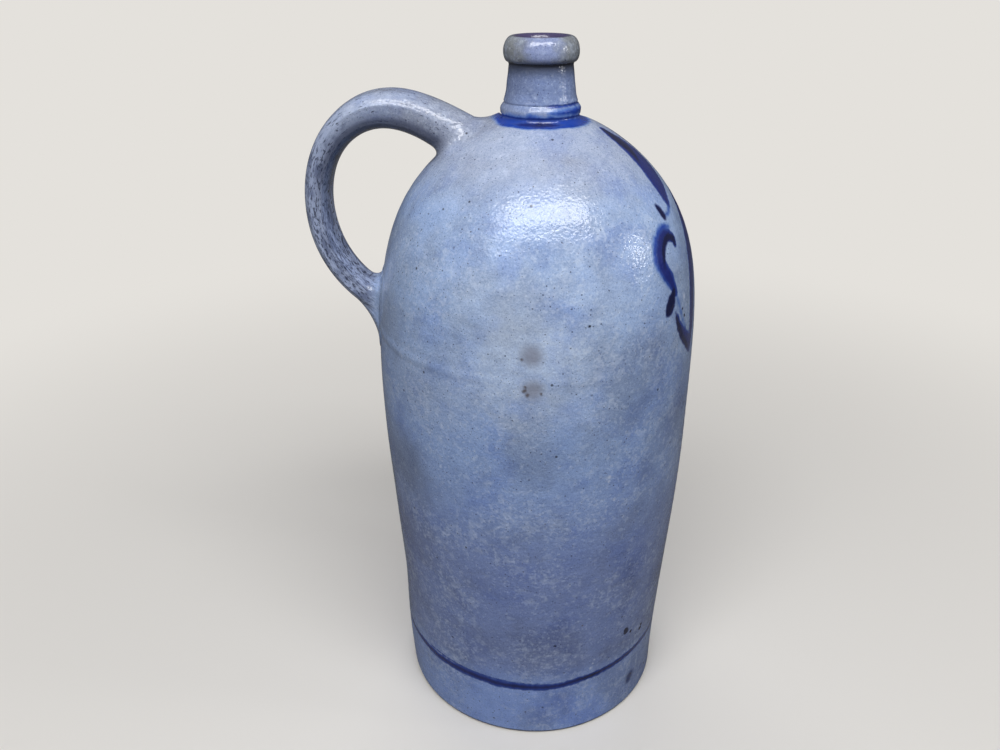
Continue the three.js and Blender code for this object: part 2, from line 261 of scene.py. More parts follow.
# Soft lights, in metres: (name, place, where it points, width and height, watts, seen in the glaze)
LIGHTS = [("key", (0.09, -0.6, 1.24), (0, 0, 0.3), (1.25, 0.36), 12.5, True),
          ("low_glint", (-0.52, -0.69, 0.93), (0, -0.05, 0.32), (0.16, 0.12), 0.5, True),
          ("side_glint", (1.01, -0.19, 0.59), (0.05, -0.06, 0.3), (0.13, 0.14), 1, True),
          ("front", (-0.8, -1.35, 0.85), (0, 0, 0.25), (1.4, 1.2), 5, False),
          ("back", (-0.4, 1.5, 1.1), (0, 0, 0.2), (1.8, 1.2), 12, False)]

SMOOTHLY = {"interpolation_type": "SMOOTHSTEP"}


def mix(a, b, t):
    return a + (b - a) * t


def hump(z, at, reach, height):
    """A smooth hump of one height that fades out over its reach."""
    u = abs(z - at) / reach
    return height * math.cos(u * math.pi / 2) ** 2 if u < 1 else 0


def smooth(t):
    """Goes from 0 to 1 as t does, without a corner at either end."""
    t = min(1, max(0, t))
    return t * t * (3 - 2 * t)


def thrown_radius(z):
    """Plain radius of the wall: foot to belly by a cosine, belly to neck by a dome."""
    if z <= BELLY_Z:
        return mix(FOOT_R, BELLY_R, (1 - math.cos(math.pi * z / BELLY_Z)) / 2)
    t = (z - BELLY_Z) / (NECK_Z - BELLY_Z)
    return mix(NECK_FOOT_R, BELLY_R, max(0, 1 - t ** SHOULDER_POWER) ** SHOULDER_FULLNESS)


def body_radius(z):
    """Radius of the wall with its raised ring."""
    return thrown_radius(z) + hump(z, RING_Z, RING_REACH, RING_HEIGHT)


def body_slope(z):
    """How much the wall widens per millimetre of height."""
    step = 0.01
    return (thrown_radius(z) - thrown_radius(z - step)) / step


def inner_radius(z):
    """Radius of the inside, one wall's thickness in, square to the wall."""
    return max(BORE_R, thrown_radius(z) - WALL * math.hypot(1, body_slope(z)))


def neck_radius(z):
    """Neck above its hollow moulding: a soft collar between two grooves, then a waisted tube."""
    tube = mix(NECK_R + NECK_SPREAD, NECK_R, (z - TUBE_Z) / (LIP_Z - TUBE_Z))
    fade = max(0, 1 - (z - TUBE_Z) / COLLAR_FADE) ** 2
    ground = COLLAR_R if z < TUBE_Z else tube + (COLLAR_R - NECK_R - NECK_SPREAD) * fade
    roll = hump(z, (COLLAR_Z + TUBE_Z) / 2, COLLAR_RISE / 2, COLLAR_BULGE)
    cut = sum(hump(z, at, GROOVE_REACH, GROOVE_DEPTH) for at in (COLLAR_Z, TUBE_Z))
    sag = hump(z, COLLAR_Z, COLLAR_RISE / 2, COLLAR_SAG)
    return ground + roll + sag - cut


def steps(low, high, size):
    """Values from low to high, evenly spaced by about the size."""
    count = max(1, round((high - low) / size))
    return [mix(low, high, i / count) for i in range(count + 1)]


def arc(r, z, half_wide, half_high, start, end, count):
    """Points on part of an oval round (r, z), from one angle to another."""
    turns = [math.radians(mix(start, end, i / count)) for i in range(count + 1)]
    return [(r + half_wide * math.cos(a), z + half_high * math.sin(a)) for a in turns]


def foot_outline():
    """Underside of the foot from the axis outwards, and its rounded edge."""
    middle_r = body_radius(FOOT_EDGE) - FOOT_EDGE
    edge = arc(middle_r, FOOT_EDGE, FOOT_EDGE, FOOT_EDGE, -90, 0, count=8)
    under = [(r, 0) for r in steps(0, edge[0][0], INNER_ROW)]
    return under + edge[1:]


def lower_outline():
    """Foot and wall up to the raised ring, then down the inside and across the floor."""
    low, high = BAND_ZONE
    wall = steps(FOOT_EDGE, low, WALL_ROW) + steps(low, high, BAND_ROW)[1:]
    wall += steps(high, RING_Z - RING_REACH, WALL_ROW)[1:]
    wall += steps(RING_Z - RING_REACH, RING_Z, BAND_ROW)[1:]
    corner_z = FLOOR + FLOOR_CORNER
    corner_r = inner_radius(corner_z) - FLOOR_CORNER
    inside = [(inner_radius(z), z) for z in steps(corner_z, RING_Z, INNER_ROW)]
    corner = arc(corner_r, corner_z, FLOOR_CORNER, FLOOR_CORNER, 0, -90, count=10)
    floor = [(r, FLOOR) for r in steps(0, corner_r, INNER_ROW)]
    skin = [(body_radius(z), z) for z in wall]
    return foot_outline() + skin[1:] + inside[::-1] + corner[1:] + floor[::-1][1:]


def dome_heights(low, high, size):
    """Heights over the dome that give rows of about one length along its surface."""
    last = high - 0.2  # the dome lies flat at its top
    heights = [low]
    while heights[-1] < high:
        z = heights[-1]
        heights.append(z + size / math.hypot(1, body_slope(min(z + size / 2, last))))
    return heights[:-1] + [high]


def upper_outline():
    """Dome from the raised ring to the foot of the neck, and back down its inside."""
    ring = steps(RING_Z, RING_Z + RING_REACH, BAND_ROW)
    wall = ring + dome_heights(RING_Z + RING_REACH, NECK_Z, SHOULDER_ROW)[1:]
    inside = [(inner_radius(z), z) for z in dome_heights(RING_Z, NECK_Z, INNER_ROW)]
    return [(body_radius(z), z) for z in wall] + inside[::-1]


def neck_outline():
    """Hollow moulding, collar and tube, and back down the bore."""
    wide = NECK_FOOT_R - neck_radius(COLLAR_Z)
    cove = arc(NECK_FOOT_R, COLLAR_Z, wide, COVE_RISE, -90, -180, count=16)
    upright = [(neck_radius(z), z) for z in steps(COLLAR_Z, LIP_Z, NECK_ROW)]
    bore = [(BORE_R, z) for z in steps(NECK_Z, LIP_Z, INNER_ROW / 2)]
    return cove + upright[1:] + bore[::-1]


def lip_outline():
    """Rolled lip: pressed up underneath, round on the outside, eased into the mouth."""
    widest = LIP_Z + LIP_WIDEST_RISE
    mouth_z = LIP_Z + LIP_MOUTH_RISE
    seat = [(LIP_SEAT_R - LIP_TUCK / 2, LIP_Z + up) for up in (0, LIP_TUCK * 0.7)]
    under = arc(LIP_SEAT_R, widest, LIP_R - LIP_SEAT_R, LIP_WIDEST_RISE - LIP_TUCK, -90, 0, count=16)
    over = arc(LIP_CREST_R, widest, LIP_R - LIP_CREST_R, TOP_Z - widest, 0, 90, count=24)
    mouth = arc(LIP_CREST_R, mouth_z, LIP_CREST_R - BORE_R, TOP_Z - mouth_z, 90, 180, count=14)
    return seat + under + over[1:] + mouth[1:] + [(BORE_R, LIP_Z)]


def potters_hand(point):
    """How far the hand-thrown wall lies inside its plain radius at a point of the skin."""
    x, y, z = point
    angle = math.atan2(y, x)
    uneven = smooth((NECK_Z - z) / TRUE_BELOW_NECK)
    oval = OUT_OF_ROUND * (1 - math.cos(2 * (angle - OVAL_TURN))) / 2 * uneven
    towards_handle = max(0, -math.cos(angle)) ** 2
    swell = towards_handle * (hump(z, *LOW_SWELL) + hump(z, *HIGH_SWELL))
    worn = mix(RING_WORN, RING_WORN_BY_HANDLE, towards_handle)
    flat_ring = hump(z, RING_Z, RING_REACH, RING_HEIGHT) * worn
    turn = (z + THROWING_PITCH * angle / (2 * math.pi)) / THROWING_PITCH
    wide, high = THROWING_PATCH
    strength = 0.5 + 0.5 * noise.noise((x / wide, y / wide, z / high))
    lines = THROWING_DEPTH * (1 - math.cos(2 * math.pi * turn)) / 2 * max(0, strength)
    lumps = LUMP_DEPTH * (0.5 + 0.5 * noise.noise((x / LUMP_SIZE, y / LUMP_SIZE, z / LUMP_SIZE)))
    return oval + lines + lumps * mix(LUMPS_AT_NECK, 1, uneven) + flat_ring - swell


def new_piece(name, bm):
    """Makes a smooth-shaded object in the scene from a finished bmesh."""
    mesh = bpy.data.meshes.new(name)
    bm.to_mesh(mesh)
    bm.free()
    piece = bpy.data.objects.new(name, mesh)
    bpy.context.scene.collection.objects.link(piece)
    for face in mesh.polygons:
        face.use_smooth = True
    return piece


def turned(name, outline, sides, closed):
    """Clay thrown on the wheel: an outline of (radius, height) spun through a small sector,
    which is then doubled until it goes all the way round."""
    bm = bmesh.new()
    points = [bm.verts.new((r * MM, 0, z * MM)) for r, z in outline]
    pairs = list(zip(points, points[1:]))
    if closed:
        pairs.append((points[-1], points[0]))
    edges = [bm.edges.new(pair) for pair in pairs]
    turn = math.radians(360 / 2 ** DOUBLINGS)
    bmesh.ops.spin(bm, geom=points + edges, cent=(0, 0, 0), axis=(0, 0, 1), angle=turn,
                   steps=sides // 2 ** DOUBLINGS, use_merge=False)
    for k in range(DOUBLINGS):
        made = bmesh.ops.duplicate(bm, geom=bm.verts[:] + bm.edges[:] + bm.faces[:])["geom"]
        bmesh.ops.rotate(bm, verts=[g for g in made if isinstance(g, bmesh.types.BMVert)],
                         cent=(0, 0, 0), matrix=Matrix.Rotation(turn * 2 ** k, 3, "Z"))
    bmesh.ops.remove_doubles(bm, verts=bm.verts, dist=1e-6)
    bmesh.ops.recalc_face_normals(bm, faces=bm.faces)
    for edge in bm.edges:
        edge.smooth = edge.calc_face_angle(0) < SHARP
    return new_piece(name, bm)


def shape_by_hand(piece):
    """Moves the plain turned wall to where the potter's hand left it."""
    for v in piece.data.vertices:
        r = v.co.xy.length
        if r > BORE_R * MM / 2 and v.co.z > 0:
            v.co.xy *= 1 - potters_hand(v.co / MM) * MM / r


def wall_normal(point):
    """Direction straight out of the pot's plain wall beside a point."""
    r = point.xy.length
    return Vector((point.x / r, point.y / r, -body_slope(min(point.z, SLOPE_END)))).normalized()


def clear_of_wall(point):
    """How far a point stands off the hand-thrown wall, square to it."""
    height = min(point.z, SLOPE_END)
    wall = thrown_radius(height) - potters_hand(point)
    return (point.xy.length - wall) / math.hypot(1, body_slope(height))


def handle_point(t):
    """Middle of the strap and its direction, at a share of the way along the handle's curve."""
    ends = (HANDLE_ROOT, HANDLE_ROOT_PULL, HANDLE_TAIL_PULL, HANDLE_TAIL)
    a, b, c, d = [Vector((-out, 0, up)) for out, up in ends]
    s = 1 - t
    at = a * s ** 3 + b * 3 * s * s * t + c * 3 * s * t * t + d * t ** 3
    along = (b - a) * s * s + (c - b) * 2 * s * t + (d - c) * t * t
    return at, along.normalized()


def strap_point(run, t, around):
    """A point of the pulled strap: run is the length past its start, t the share of the curve and
    around the angle round its section. Near the wall the clay flares out into it."""
    upper = t < 0.5
    centre, along = handle_point(t)
    centre = centre + along * min(0, run)
    outward = Vector((along.z, 0, -along.x))
    thin = smooth(t / THIN_BY)
    half_thick = mix(HANDLE_THICK_TOP, HANDLE_THICK_LOW, thin) / 2 - STRAP_SLIMMER
    half_wide = mix(HANDLE_WIDE_TOP, HANDLE_WIDE_LOW, thin) / 2 - STRAP_SLIMMER
    c, s = math.cos(around), math.sin(around)
    power = 2 / STRAP_BOX
    reach = outward * (half_thick * math.copysign(abs(c) ** power, c))
    reach.y = half_wide * math.copysign(abs(s) ** power, s)
    off = abs(math.degrees(around))
    edge = math.copysign(3, s)  # so that the lines of the two edges differ
    relief = noise.noise((run / STRAP_LUMP, c * LUMPS_ROUND, s * LUMPS_ROUND)) * STRAP_UNEVEN
    height = clear_of_wall(centre + reach)
    for line, spread, depth in STRAP_LINES:
        drawn = 0.8 + 0.5 * noise.noise((run / LINE_FADE, line, edge))
        relief += depth * drawn * math.exp(-((off - line) / spread) ** 2)
    reach *= 1 + relief * smooth((height - LINE_START) / (2 * ROOT_BLEND)) / reach.length
    point = centre + reach
    smear = CROWN_SMEAR if upper else TAIL_SMEAR
    web = ROOT_FILLET if upper else TAIL_WEB
    radius = mix(ROOT_FILLET, smear if c > 0 else web, c ** 2)
    radius *= 1 + SMEAR_UNEVEN * noise.noise((c * SMEARS_ROUND, s * SMEARS_ROUND, 5 if upper else 9))
    gap = min(radius, max(0, clear_of_wall(point)))
    flare = radius - math.sqrt(radius ** 2 - (radius - gap) ** 2)
    normal = wall_normal(point)
    along_wall = reach - normal * reach.dot(normal)
    return point + along_wall.normalized() * flare


def handle():
    """Pulled strap: a ring of points moved along the loop by extruding it, closed at both ends.
    Each point keeps where it lies in the strap, how free it is of the wall, and the wall's normal,
    for the glaze."""
    lengths = [0.0]
    for i in range(CURVE_STEPS):
        step = handle_point((i + 1) / CURVE_STEPS)[0] - handle_point(i / CURVE_STEPS)[0]
        lengths.append(lengths[-1] + step.length)
    bm = bmesh.new()
    turn = bm.verts.layers.float.new("turn")
    strap = bm.verts.layers.float_vector.new("strap")
    free = bm.verts.layers.float.new("free")
    wall = bm.verts.layers.float_vector.new("wall")
    ring = bmesh.ops.create_circle(bm, segments=STRAP_SIDES, radius=1, cap_ends=False)["verts"]
    for v in ring:
        v[turn] = math.atan2(v.co.y, v.co.x)
    edges = list(bm.edges)
    run = -ROOT_DEPTH
    while run < lengths[-1]:
        t = float(np.interp(max(0, run), lengths, np.linspace(0, 1, CURVE_STEPS + 1)))
        if run > -ROOT_DEPTH:
            made = bmesh.ops.extrude_edge_only(bm, edges=edges)["geom"]
            ring = [g for g in made if isinstance(g, bmesh.types.BMVert)]
            edges = [g for g in made if isinstance(g, bmesh.types.BMEdge)]
        half = mix(HANDLE_WIDE_TOP, HANDLE_WIDE_LOW, t) / 2
        for v in ring:
            v.co = strap_point(run, t, v[turn]) * MM
            v[strap] = (run, half * math.cos(v[turn]), half * math.sin(v[turn]))
            v[free] = smooth(clear_of_wall(v.co / MM) / ROOT_BLEND)
            v[wall] = wall_normal(v.co / MM)
        near_wall = abs(clear_of_wall(handle_point(t)[0])) < HANDLE_THICK_TOP
        run += ROOT_ROW if near_wall else STRAP_ROW
    bmesh.ops.holes_fill(bm, edges=[e for e in bm.edges if e.is_boundary], sides=0)
    bmesh.ops.recalc_face_normals(bm, faces=bm.faces)
    return new_piece("handle_clay", bm)


def skin_radius(z):
    """Radius of the outside anywhere between the foot and the lip."""
    if z <= NECK_Z:
        return body_radius(z)
    if z >= COLLAR_Z:
        return neck_radius(z)
    wide = NECK_FOOT_R - neck_radius(COLLAR_Z)
    return NECK_FOOT_R - wide * math.sqrt(1 - ((COLLAR_Z - z) / COVE_RISE) ** 2)


def on_skin(angle, z):
    """A point on the outside of the pot from its angle round it and its height."""
    a = math.radians(angle)
    r = skin_radius(z)
    return (r * math.sin(a), -r * math.cos(a), z)


def brushed(stroke):
    """One stroke as rows of x, y, z and half width along a smooth line on the pot."""
    rows = np.array([(*on_skin(angle, z), half) for angle, z, half in stroke])
    padded = np.vstack([2 * rows[0] - rows[1], rows, 2 * rows[-1] - rows[-2]])
    line = []
    for p0, p1, p2, p3 in zip(padded, padded[1:], padded[2:], padded[3:]):
        count = max(2, int(np.linalg.norm(p2[:3] - p1[:3]) / BRUSH_STEP))
        for t in np.arange(count) / count:
            line.append(0.5 * (2 * p1 + (p2 - p0) * t + (2 * p0 - 5 * p1 + 4 * p2 - p3) * t ** 2
                               + (3 * p1 - p0 - 3 * p2 + p3) * t ** 3))
    return np.array(line + [rows[-1]])


def mirrored(stroke):
    """The same stroke on the other side of the motif's middle."""
    return [(2 * MOTIF_MIDDLE - angle, z, half) for angle, z, half in stroke]


def ring_stroke(heights, halves, start=0, end=360, step=3):
    """A band brushed on the turning pot; heights and half widths are (angle, value) lists."""
    angles = np.arange(start, end + step, step)
    z = np.interp(angles, *zip(*heights), period=360)
    half = np.interp(angles, *zip(*halves), period=360)
    return [tuple(map(float, row)) for row in zip(angles, z, half)]


def paint(piece, name, strokes):
    """Stores how deep each point of a piece lies inside the brushed strokes, in millimetres."""
    mesh = piece.data
    co = np.empty(len(mesh.vertices) * 3, np.float32)
    mesh.vertices.foreach_get("co", co)
    co = co.reshape(-1, 3) / MM
    depth = np.full(len(co), -PAINT_REACH, np.float32)
    outside = np.hypot(co[:, 0], co[:, 1]) > np.where(co[:, 2] > NECK_Z, THROAT_R, 0)
    for stroke in strokes:
        line = brushed(stroke).astype(np.float32)
        reach = PAINT_REACH + line[:, 3].max()
        near = np.all((co > line[:, :3].min(0) - reach) & (co < line[:, :3].max(0) + reach), axis=1)
        index = np.nonzero(near & outside)[0]
        for part in np.array_split(index, max(1, len(index) // PAINT_BATCH)):
            apart = np.linalg.norm(co[part, None, :] - line[None, :, :3], axis=2)
            depth[part] = np.maximum(depth[part], (line[:, 3] - apart).max(1))
    layer = mesh.attributes.new(name, "FLOAT", "POINT")
    layer.data.foreach_set("value", np.clip(depth, -PAINT_REACH, PAINT_REACH).astype(np.float32))


def linear(hex_colour):
    """An sRGB hex colour as the linear colour that shader nodes take."""
    parts = [int(hex_colour[i:i + 2], 16) / 255 for i in (1, 3, 5)]
    return (*[p / 12.92 if p <= 0.04045 else ((p + 0.055) / 1.055) ** 2.4 for p in parts], 1)


def add(tree, kind, settings=None, links=None, out=0):
    """Adds a node with its properties, socket values and links; returns one output socket."""
    made = tree.nodes.new(kind)
    for key, value in (settings or {}).items():
        if isinstance(key, str) and hasattr(made, key):
            setattr(made, key, value)
        else:
            made.inputs[key].default_value = value
    for key, socket in (links or {}).items():
        tree.links.new(socket, made.inputs[key])
    return made.outputs[out] if made.outputs else None


def per_metre(size):
    """Texture scale at which one cell or wave of a pattern is about this many millimetres."""
    return 1000 / size


def new_material(name):
    material = bpy.data.materials.new(name)
    material.use_nodes = True
    material.node_tree.nodes.clear()
    return material, material.node_tree


def spots(tree, colour, place, marks, tint, soft):
    """Small round marks on the glaze, with a ragged edge."""
    ragged = add(tree, "ShaderNodeTexNoise", {"Scale": per_metre(MARK_RAGGED), "Detail": 2},
                 {"Vector": place}, out="Color")
    shift = add(tree, "ShaderNodeVectorMath", {"operation": "SCALE", "Scale": MARK_RAGGED * MM},
                {0: ragged})
    moved = add(tree, "ShaderNodeVectorMath", {"operation": "ADD"}, {0: place, 1: shift})
    usual_shift = Vector((1, 1, 1)) * (MARK_RAGGED * MM / 2)
    for angle, z, radius in marks:
        centre = Vector(on_skin(angle, z)) * MM + usual_shift
        apart = add(tree, "ShaderNodeVectorMath", {"operation": "DISTANCE", 1: centre}, {0: moved},
                    out="Value")
        mask = add(tree, "ShaderNodeMapRange", {**SMOOTHLY, "From Min": radius * MM * (1 + soft),
                                                "From Max": radius * MM * (1 - soft)}, {"Value": apart})
        colour = add(tree, "ShaderNodeMixRGB", {"Color2": linear(tint)}, {"Fac": mask, "Color1": colour})
    return colour


def salt_glaze(tree, place, colour):
    """Glaze that salt vapour leaves on grey clay, over a ground colour: slow clouds of grey and
    blue, pale dabs where the salt lay thicker, a fine grain, and dark pinholes and iron specks."""
    for size, low, high, most, tint in CLOUDS:
        cloud = add(tree, "ShaderNodeTexNoise", {"Scale": per_metre(size), "Detail": 5, "Roughness": 0.6},
                    {"Vector": place})
        cloud = add(tree, "ShaderNodeMapRange", {**SMOOTHLY, "From Min": low, "From Max": high,
                                                 "To Max": most}, {"Value": cloud})
        colour = add(tree, "ShaderNodeMixRGB", {"blend_type": "MULTIPLY", "Color2": linear(tint)},
                     {"Fac": cloud, "Color1": colour})
    where = add(tree, "ShaderNodeTexNoise", {"Scale": per_metre(40), "Detail": 2}, {"Vector": place})
    for size, low, high, most in DABS:
        dab = add(tree, "ShaderNodeTexNoise", {"Scale": per_metre(size), "Detail": 1, "Roughness": 0.5},
                  {"Vector": place})
        dab = add(tree, "ShaderNodeMath", {"operation": "MULTIPLY_ADD", 1: 0.5}, {0: where, 2: dab})
        dab = add(tree, "ShaderNodeMapRange", {**SMOOTHLY, "From Min": low, "From Max": high,
                                               "To Max": most}, {"Value": dab})
        colour = add(tree, "ShaderNodeMixRGB", {"blend_type": "SCREEN", "Color2": linear("#737c90")},
                     {"Fac": dab, "Color1": colour})
    for apart, radius, tint, share in SPECKS:
        cell = {"Scale": per_metre(apart)}
        chosen = add(tree, "ShaderNodeTexVoronoi", cell, {"Vector": place}, out="Color")
        chosen = add(tree, "ShaderNodeSeparateColor", {}, {"Color": chosen})
        chosen = add(tree, "ShaderNodeMath", {"operation": "GREATER_THAN", 1: share}, {0: chosen})
        near = add(tree, "ShaderNodeTexVoronoi", cell, {"Vector": place})
        speck = add(tree, "ShaderNodeMapRange",
                    {"From Min": radius / apart * 1.3, "From Max": radius / apart * 0.7,
                     "To Max": 0.8}, {"Value": near})
        speck = add(tree, "ShaderNodeMath", {"operation": "MULTIPLY"}, {0: chosen, 1: speck})
        colour = add(tree, "ShaderNodeMixRGB", {"Color2": linear(tint)}, {"Fac": speck, "Color1": colour})
    return colour


def by_height(tree, place, colour, tints):
    """Lays tints over a colour, one after another up the pot."""
    height = add(tree, "ShaderNodeSeparateXYZ", {}, {"Vector": place}, out="Z")
    for low, high, tint in tints:
        share = add(tree, "ShaderNodeMapRange", {**SMOOTHLY, "From Min": low * MM, "From Max": high * MM},
                    {"Value": height})
        colour = add(tree, "ShaderNodeMixRGB", {"Color2": linear(tint)}, {"Fac": share, "Color1": colour})
    return colour


def fired_ground(tree, place, tints):
    """Ground colour of the pot by height: bluer towards the foot, paler and greyer on the
    shoulder, dull on the neck; its darkening towards the foot is partly painted shade of the light
    from above. Over it lie paler and duller flashes where the fire and salt passed, and painted
    sheen on the front."""
    colour = add(tree, "ShaderNodeMixRGB", {"Fac": 0, "Color1": linear(FOOT_TINT)})
    colour = by_height(tree, place, colour, tints)
    cloud = add(tree, "ShaderNodeTexNoise", {"Scale": per_metre(30), "Detail": 4}, {"Vector": place})
    # the pale patches on the front are painted sheen; the others are flashes of the fire
    for angle, z, radius, tint, most in FLASHES_AND_SHEEN:
        centre = Vector(on_skin(angle, z)) * MM
        apart = add(tree, "ShaderNodeVectorMath", {"operation": "DISTANCE", 1: centre}, {0: place},
                    out="Value")
        apart = add(tree, "ShaderNodeMath", {"operation": "MULTIPLY_ADD", 1: radius * MM},
                    {0: cloud, 2: apart})
        share = add(tree, "ShaderNodeMapRange", {**SMOOTHLY, "From Min": radius * MM * 1.5,
                                                 "From Max": radius * MM * 0.5, "To Max": most},
                    {"Value": apart})
        colour = add(tree, "ShaderNodeMixRGB", {"Color2": linear(tint)}, {"Fac": share, "Color1": colour})
    return colour


def orange_peel(tree, place, under=None):
    """Relief of salt glaze: fine pitted orange peel over broader, softer lumps."""
    size, depth = PEEL_LUMPS
    broad = add(tree, "ShaderNodeTexNoise", {"Scale": per_metre(size), "Detail": 3}, {"Vector": place})
    normal = add(tree, "ShaderNodeBump", {"Strength": 1, "Distance": depth * MM},
                 {"Height": broad, **(under or {})})
    for size, depth in PEEL_PITS:
        pits = add(tree, "ShaderNodeTexVoronoi", {"Scale": per_metre(size), "feature": "SMOOTH_F1"},
                   {"Vector": place})
        normal = add(tree, "ShaderNodeBump", {"Strength": 1, "Distance": depth * MM, "invert": True},
                     {"Height": pits, "Normal": normal})
    return normal


def cobalt(tree, colour, place):
    """Cobalt brushed on the raw clay: it melts into the glaze, pale at the edge of a stroke and
    almost black where it lies thick. A thin wash lies under and beside the strokes."""
    ragged = add(tree, "ShaderNodeTexNoise", {"Scale": per_metre(3.2), "Detail": 4}, {"Vector": place})
    for layer, reach, low, high, thin, thick, start, full in COBALT_LAYERS:
        depth = add(tree, "ShaderNodeAttribute", {"attribute_name": layer}, out="Fac")
        uneven = add(tree, "ShaderNodeMath", {"operation": "MULTIPLY_ADD", 1: reach}, {0: ragged, 2: depth})
        uneven = add(tree, "ShaderNodeMath", {"operation": "SUBTRACT", 1: reach / 2}, {0: uneven})
        heavy = add(tree, "ShaderNodeMapRange", {**SMOOTHLY, "From Min": start, "From Max": full},
                    {"Value": uneven})
        blue = add(tree, "ShaderNodeMixRGB", {"Color1": linear(thin), "Color2": linear(thick)},
                   {"Fac": heavy})
        mask = add(tree, "ShaderNodeMapRange", {**SMOOTHLY, "From Min": low, "From Max": high},
                   {"Value": uneven})
        colour = add(tree, "ShaderNodeMixRGB", {}, {"Fac": mask, "Color1": colour, "Color2": blue})
    return colour


def finish_surface(tree, colour, normal, rough, coat):
    """Glassy skin over clay: a soft gloss from the glaze and a thin clear coat on top."""
    surface = add(tree, "ShaderNodeBsdfPrincipled",
                  {"IOR": 1.5, "Roughness": rough, "Coat Weight": coat, "Coat Roughness": 0.12},
                  {"Base Color": colour, "Normal": normal, "Coat Normal": normal})
    add(tree, "ShaderNodeOutputMaterial", {}, {"Surface": surface})


def body_glaze():
    """Salt-glazed stoneware: grey clay fired with salt, glossy, pitted like orange peel."""
    material, tree = new_material("salt_glazed_stoneware")
    place = add(tree, "ShaderNodeTexCoord", out="Object")
    colour = salt_glaze(tree, place, fired_ground(tree, place, BODY_TINTS_AND_SHADE + NECK_TINTS))
    # painted shadow of the lip's overhang across the top of the neck
    colour = by_height(tree, place, colour, UNDER_LIP_SHADOW_TINTS)
    colour = cobalt(tree, colour, place)
    # small marks; the pale last ones are painted glints together with scuffs
    for marks, tint, soft in ((SMUDGES, "#2a3c74", 0.8), (COBALT_DOTS, "#10173f", 0.3),
                              (FAINT_SPOTS, "#939bb0", 0.7), (IRON_SPOTS, "#625f66", 0.6),
                              (CHIPS, "#2a2d3a", 0.3), (SCUFFS_AND_GLINTS, "#c6d2ea", 0.8)):
        colour = spots(tree, colour, place, marks, tint, soft)
    finish_surface(tree, colour, orange_peel(tree, place), rough=0.24, coat=0.35)
    return material


def lip_glaze():
    """The same glaze on the lip: olive grey towards both sides, painted shade in the undercut,
    and dark purple brown down the mouth."""
    material, tree = new_material("salt_glazed_lip")
    place = add(tree, "ShaderNodeTexCoord", out="Object")
    colour = add(tree, "ShaderNodeMixRGB", {"Fac": 0, "Color1": linear("#a2afd6")})
    # olive grey towards both sides of the lip
    start, full = LIP_SIDE_OLIVE
    across = add(tree, "ShaderNodeSeparateXYZ", {}, {"Vector": place}, out="X")
    across = add(tree, "ShaderNodeMath", {"operation": "ABSOLUTE"}, {0: across})
    olive_sides = add(tree, "ShaderNodeTexNoise", {"Scale": per_metre(9), "Detail": 4}, {"Vector": place})
    olive_sides = add(tree, "ShaderNodeMath", {"operation": "MULTIPLY_ADD", 1: LIP_SIDE_OLIVE_RAGGED * MM},
                {0: olive_sides, 2: across})
    olive_sides = add(tree, "ShaderNodeMapRange", {**SMOOTHLY, "From Min": start * MM, "From Max": full * MM,
                                             "To Max": 0.85}, {"Value": olive_sides})
    colour = add(tree, "ShaderNodeMixRGB", {"Color2": linear("#989d9a")}, {"Fac": olive_sides, "Color1": colour})
    colour = salt_glaze(tree, place, colour)
    # painted shade on the lip's underside, darkest where it meets the neck
    start, full = LIP_UNDERCUT_SHADE
    height = add(tree, "ShaderNodeSeparateXYZ", {}, {"Vector": place}, out="Z")
    under = add(tree, "ShaderNodeMapRange", {**SMOOTHLY, "From Min": (LIP_Z + start) * MM,
                                             "From Max": (LIP_Z + full) * MM}, {"Value": height})
    colour = add(tree, "ShaderNodeMixRGB", {"Color2": linear("#3a3d4a")}, {"Fac": under, "Color1": colour})
    start, full = LIP_THROAT
    flat = add(tree, "ShaderNodeVectorMath", {"operation": "MULTIPLY", 1: (1, 1, 0)}, {0: place})
    from_axis = add(tree, "ShaderNodeVectorMath", {"operation": "LENGTH"}, {0: flat}, out="Value")
    throat = add(tree, "ShaderNodeMapRange", {**SMOOTHLY, "From Min": (LIP_CREST_R + start) * MM,
                                              "From Max": (LIP_CREST_R + full) * MM}, {"Value": from_axis})
    colour = add(tree, "ShaderNodeMixRGB", {"Color2": linear("#4f486a")}, {"Fac": throat, "Color1": colour})
    finish_surface(tree, colour, orange_peel(tree, place), rough=0.2, coat=0.4)
    return material


